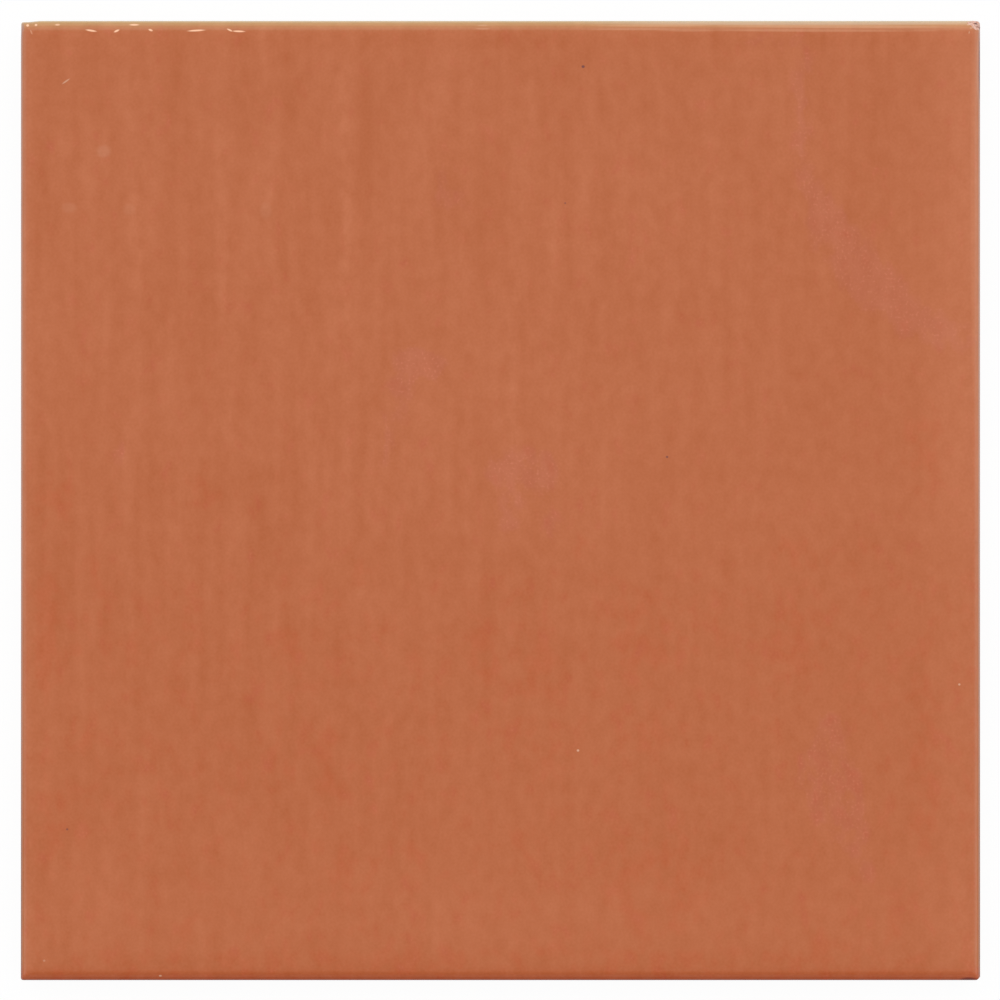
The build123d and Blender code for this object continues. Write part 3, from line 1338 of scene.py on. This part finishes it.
def break_material(look, biscuit, soft_mark):
    """The fresh, finely mottled clay of the broken corners, with crumbs of glaze, its stains and painted
    shade along the chip's dark edges.
    """
    material, bench, shader = new_material("fresh_break")
    place = bench.place()
    finer = bench.vector("MULTIPLY", place, BREAK_FINENESS)
    bare = bench.use(biscuit, Place=finer, Clay=rgba(look.fresh_break))
    crumbs = bench.noise(place, CRUMB_SIZE, detail=2.0)
    crumbs = bench.ease(crumbs, *CRUMB_RANGE, 0.0, CRUMB_SHARE)
    colour = bench.blend(crumbs, bare["Color"], rgba(look.full_coat))
    # Stains, and painted shade along the chip's dark edges
    stains_and_shade = mark_mask(bench, soft_mark, place, CHIP_STAINS_AND_SHADE)
    colour = bench.blend(stains_and_shade, colour, rgba(look.iron_speck_and_shade))
    finish_shader(bench, shader, colour, bare["Roughness"], bare["Height"])
    return material


def mark_mask(bench, soft_mark, place, marks):
    """Where any of several marks lies, from 0 to 1."""
    whole = 0.0
    for mark in marks:
        spot = bench.use(
            soft_mark,
            Place=place,
            Middle=(mark.x, mark.y, 0),
            Half_Size=(mark.half_length, mark.half_width, 1),
            Turn=math.radians(mark.turn),
        )
        whole = bench.maths("MAXIMUM", whole, bench.maths("MULTIPLY", spot["Mask"], mark.strength))
    return whole


def with_marks_and_painted_light(bench, soft_mark, place, look, colour, within):
    """The glaze's colour with the marks of one zone, painted glints, reflections and grey rim
    reflections among them.
    """
    # Among these marks are painted grey reflections inside the rims, and painted reflections and glints
    # along the top edge
    for specks, mark_colour in (
        (PALE_SPECKS, look.pale_speck),
        (PAINTED_RIM_REFLECTIONS, look.painted_rim_reflection),
        (PAINTED_EDGE_SHEENS, look.painted_edge_sheen),
        (PAINTED_EDGE_GLINTS, look.painted_edge_glint),
        (DARK_SPECKS, look.iron_speck_and_shade),
    ):
        marks = [mark for mark in specks if within(reach(Vector((mark.x, mark.y))))]
        if marks:
            mask = mark_mask(bench, soft_mark, place, marks)
            colour = bench.blend(mask, colour, rgba(mark_colour))
    return colour


def face_material(look, glaze, soft_mark, edge_start):
    """The glossy glaze of the face."""
    material, bench, shader = new_material("face_glaze")
    place = bench.place()
    coat = bench.use(glaze, Place=place)
    colour = with_marks_and_painted_light(
        bench, soft_mark, place, look, coat["Color"], lambda out: out < edge_start
    )
    finish_shader(bench, shader, colour, coat["Roughness"], coat["Height"])
    return material


def edge_material(look, shape, glaze, soft_mark, biscuit, edge_start):
    """The glaze over the rolled edge and down the walls, with bare clay below its lower edge."""
    material, bench, shader = new_material("edge_glaze")
    place = bench.place()
    axes = bench.axes(place)
    coat = bench.use(glaze, Place=place)
    colour = with_marks_and_painted_light(
        bench, soft_mark, place, look, coat["Color"], lambda out: out >= edge_start
    )
    fade_low, fade_high = (outline_height(shape) / MM + height for height in PAINTED_RIM_SHADE_FADE)
    rim = bench.ease(axes["Z"], fade_low, fade_high)
    # Painted shade: dark lines along the rims
    rim_shade_mask = bench.maths("MULTIPLY", mark_mask(bench, soft_mark, place, PAINTED_RIM_SHADES), rim)
    colour = bench.blend(rim_shade_mask, colour, rgba(look.painted_rim_shade))

    bare = bench.use(biscuit, Place=place, Clay=rgba(look.biscuit))
    ragged = bench.swing(bench.noise(place, RAGGED_SIZE, detail=3.0), RAGGED_SWING)
    above_line = bench.total(bench.field("glaze_edge"), ragged)
    glazed = bench.ease(above_line, -RAGGED_HALF_WIDTH, RAGGED_HALF_WIDTH)
    unglazed = bench.maths("SUBTRACT", 1.0, glazed)
    colour = bench.blend(glazed, bare["Color"], colour)
    clay_roughness = bench.maths("MULTIPLY", unglazed, bare["Roughness"])
    roughness = bench.maths("MULTIPLY_ADD", glazed, coat["Roughness"], clay_roughness)
    clay_height = bench.maths("MULTIPLY", unglazed, bare["Height"])
    height = bench.total(coat["Height"], clay_height)
    finish_shader(bench, shader, colour, roughness, height)
    return material


def add_finishes(tile, shape, look):
    """Gives the face, the edge and walls, and the back their finishes, in edit mode."""
    edge_start = shape.side / 2 / MM - EDGE_ZONE
    glaze, soft_mark, biscuit = glaze_group(look, shape), soft_mark_group(), biscuit_group()
    for material in (
        face_material(look, glaze, soft_mark, edge_start),
        edge_material(look, shape, glaze, soft_mark, biscuit, edge_start),
        biscuit_material(look, biscuit),
        break_material(look, biscuit, soft_mark),
    ):
        tile.data.materials.append(material)
    pick(tile, "FACE", lambda face: reach(face.calc_center_median()) > edge_start * MM)
    give_finish(tile, "edge_glaze")
    pick(tile, "FACE", lambda face: face.calc_center_median().z < shape.back_bevel + FLAT)
    give_finish(tile, "bare_biscuit")


def make_tile(shape, look):
    """The whole tile, modelled, glazed and worn."""
    rings = edge_rings(shape)
    key_half = rings[-1].half
    tile = press_blank(rings)
    round_corners(tile, shape)
    cut_strips(tile, 0, STRIPS_ALONG_X, key_half)
    cut_strips(tile, 1, STRIPS_ALONG_Y, key_half)
    press_key(tile, shape, key_half)
    add_finishes(tile, shape, look)
    bpy.ops.object.mode_set(mode="OBJECT")
    raise_relief(tile, shape)
    bpy.ops.object.mode_set(mode="EDIT")
    wear_corners(tile, shape)
    bpy.ops.object.mode_set(mode="OBJECT")

    places = vertex_places(tile)
    paint_field(tile, "lightness", shade_field(places))
    paint_field(tile, "runs", run_field(places))
    paint_field(tile, "redness", red_field(places))
    paint_field(tile, "haze", haze_field(places))
    paint_field(tile, "glaze_edge", glaze_edge_field(places, shape))
    bpy.ops.object.shade_smooth_by_angle(angle=SMOOTH_ANGLE)
    return tile


# Stage


def floor_material(stage):
    """White to the eye and in reflections, with a share of real shading that keeps the shadow."""
    material = bpy.data.materials.new("white_floor")
    material.use_nodes = True
    material.node_tree.nodes.clear()
    bench = NodeBench(material.node_tree)
    path = bench.add("ShaderNodeLightPath").outputs
    seen = bench.maths("MAXIMUM", path["Is Camera Ray"], path["Is Glossy Ray"])
    seen = bench.maths("MAXIMUM", seen, path["Is Transmission Ray"])
    bounce = bench.ease(seen, 0.0, 1.0, stage.floor_bounce, 1.0)
    lit = bench.add("ShaderNodeBsdfDiffuse", {"Color": bounce}).outputs["BSDF"]
    side = bench.axes(bench.add("ShaderNodeTexCoord").outputs["Object"])["Y"]
    mirrored = bench.ease(side, *FLAG_FADE, stage.floor_flag, 1.0)
    level = bench.maths("MAXIMUM", path["Is Camera Ray"], mirrored)
    white = bench.add("ShaderNodeEmission", {"Color": rgba((1, 1, 1)), "Strength": level})
    share = bench.maths("MULTIPLY", seen, 1 - stage.floor_shadow)
    mixed = bench.add("ShaderNodeMixShader", {0: share, 1: lit, 2: white.outputs["Emission"]})
    bench.add("ShaderNodeOutputMaterial", {"Surface": mixed.outputs["Shader"]})
    return material


def light_tent(stage):
    """A white tent of light, dimmer overhead, close to the floor and beyond the bottom of the tile."""
    world = bpy.data.worlds.new("light_tent")
    world.use_nodes = True
    world.node_tree.nodes.clear()
    bench = NodeBench(world.node_tree)
    axes = bench.axes(bench.add("ShaderNodeTexCoord").outputs["Generated"])
    strength = bench.ease(axes["Z"], *TENT_RISE, stage.sky_horizon, stage.sky_zenith)
    backwards = bench.ease(axes["Y"], *TENT_BACK, stage.sky_back, 1.0)
    sideways = bench.maths("MULTIPLY_ADD", axes["X"], stage.sky_sideways, 1.0)
    low_down = bench.ease(axes["Z"], *TENT_FOOT, stage.sky_foot, 1.0)
    for share in (backwards, sideways, low_down):
        strength = bench.maths("MULTIPLY", strength, share)
    seen = bench.add("ShaderNodeLightPath").outputs["Is Camera Ray"]
    strength = bench.maths("MAXIMUM", strength, seen)
    sky = bench.add("ShaderNodeBackground", {"Color": rgba((1, 1, 1)), "Strength": strength})
    bench.add("ShaderNodeOutputWorld", {"Surface": sky.outputs["Background"]})
    bpy.context.scene.world = world


def add_lamp(name, place, target, size, power):
    """A rectangular lamp that looks at a place."""
    lamp_data = bpy.data.lights.new(name, "AREA")
    lamp_data.shape = "RECTANGLE"
    lamp_data.size, lamp_data.size_y = size
    lamp_data.energy = power
    lamp = bpy.data.objects.new(name, lamp_data)
    bpy.context.scene.collection.objects.link(lamp)
    lamp.location = place
    lamp.rotation_euler = (target - place).to_track_quat("-Z", "Y").to_euler()
    return lamp


def set_stage(stage, shape):
    """Floor, light and camera."""
    bpy.ops.object.select_all(action="DESELECT")
    bpy.ops.mesh.primitive_plane_add(size=stage.floor_size)
    floor = bpy.context.active_object
    floor.name = "floor"
    floor.data.materials.append(floor_material(stage))
    light_tent(stage)

    middle = Vector((0, 0, shape.thickness))
    add_lamp("key", KEY_PLACE, middle, KEY_SIZE, stage.key_power)
    overhead = add_lamp("overhead", OVERHEAD_PLACE, middle, OVERHEAD_SIZE, stage.overhead_power)
    overhead.visible_glossy = False

    camera_data = bpy.data.cameras.new("photo_camera")
    camera_data.lens = stage.camera_lens
    camera_data.sensor_width = SENSOR_WIDTH
    camera = bpy.data.objects.new("photo_camera", camera_data)
    bpy.context.scene.collection.objects.link(camera)
    distance = shape.side / TILE_SHARE * stage.camera_lens / SENSOR_WIDTH
    shift_x, shift_y = CAMERA_SHIFT
    camera.location = (shift_x * MM, shift_y * MM, outline_height(shape) + distance)
    bpy.context.scene.camera = camera
    bpy.context.scene.view_settings.view_transform = "Standard"


# Add-on


class WALLTILE_OT_make_tile(bpy.types.Operator):
    """Model, wear and glaze the wall tile"""

    bl_idname = "wall_tile.make_tile"
    bl_label = "Make Glazed Tile"
    bl_options = {"REGISTER", "UNDO"}

    def execute(self, context):
        settings = context.scene.wall_tile
        tile = make_tile(settings.shape, settings.look)
        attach(tile, "root")
        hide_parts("tile")
        return {"FINISHED"}


class WALLTILE_OT_set_stage(bpy.types.Operator):
    """Lay the floor, light the tile and set the camera above it"""

    bl_idname = "wall_tile.set_stage"
    bl_label = "Set Stage"
    bl_options = {"REGISTER", "UNDO"}

    def execute(self, context):
        settings = context.scene.wall_tile
        set_stage(settings.stage, settings.shape)
        return {"FINISHED"}


class WALLTILE_PT_sidebar(bpy.types.Panel):
    """Wall tile tools in the sidebar"""

    bl_idname = "WALLTILE_PT_sidebar"
    bl_label = "Wall Tile"
    bl_space_type = "VIEW_3D"
    bl_region_type = "UI"
    bl_category = "Wall Tile"

    def draw(self, context):
        settings = context.scene.wall_tile
        for group, operator in (
            (settings.shape, None),
            (settings.look, WALLTILE_OT_make_tile),
            (settings.stage, WALLTILE_OT_set_stage),
        ):
            column = self.layout.column(align=True)
            for name in group.__annotations__:
                column.prop(group, name)
            if operator:
                self.layout.operator(operator.bl_idname)


CLASSES = (
    TileShape,
    GlazeLook,
    StageLook,
    WallTileSettings,
    WALLTILE_OT_make_tile,
    WALLTILE_OT_set_stage,
    WALLTILE_PT_sidebar,
)


def register():
    """Adds the tile's settings, operators and panel to Blender."""
    for entry in CLASSES:
        bpy.utils.register_class(entry)
    bpy.types.Scene.wall_tile = PointerProperty(type=WallTileSettings)


def unregister():
    """Takes them out again."""
    del bpy.types.Scene.wall_tile
    for entry in reversed(CLASSES):
        bpy.utils.unregister_class(entry)


def main():
    """Makes the tile and its stage."""
    register()
    bpy.ops.wall_tile.make_tile()
    bpy.ops.wall_tile.set_stage()


if __name__ == "__main__":
    main()
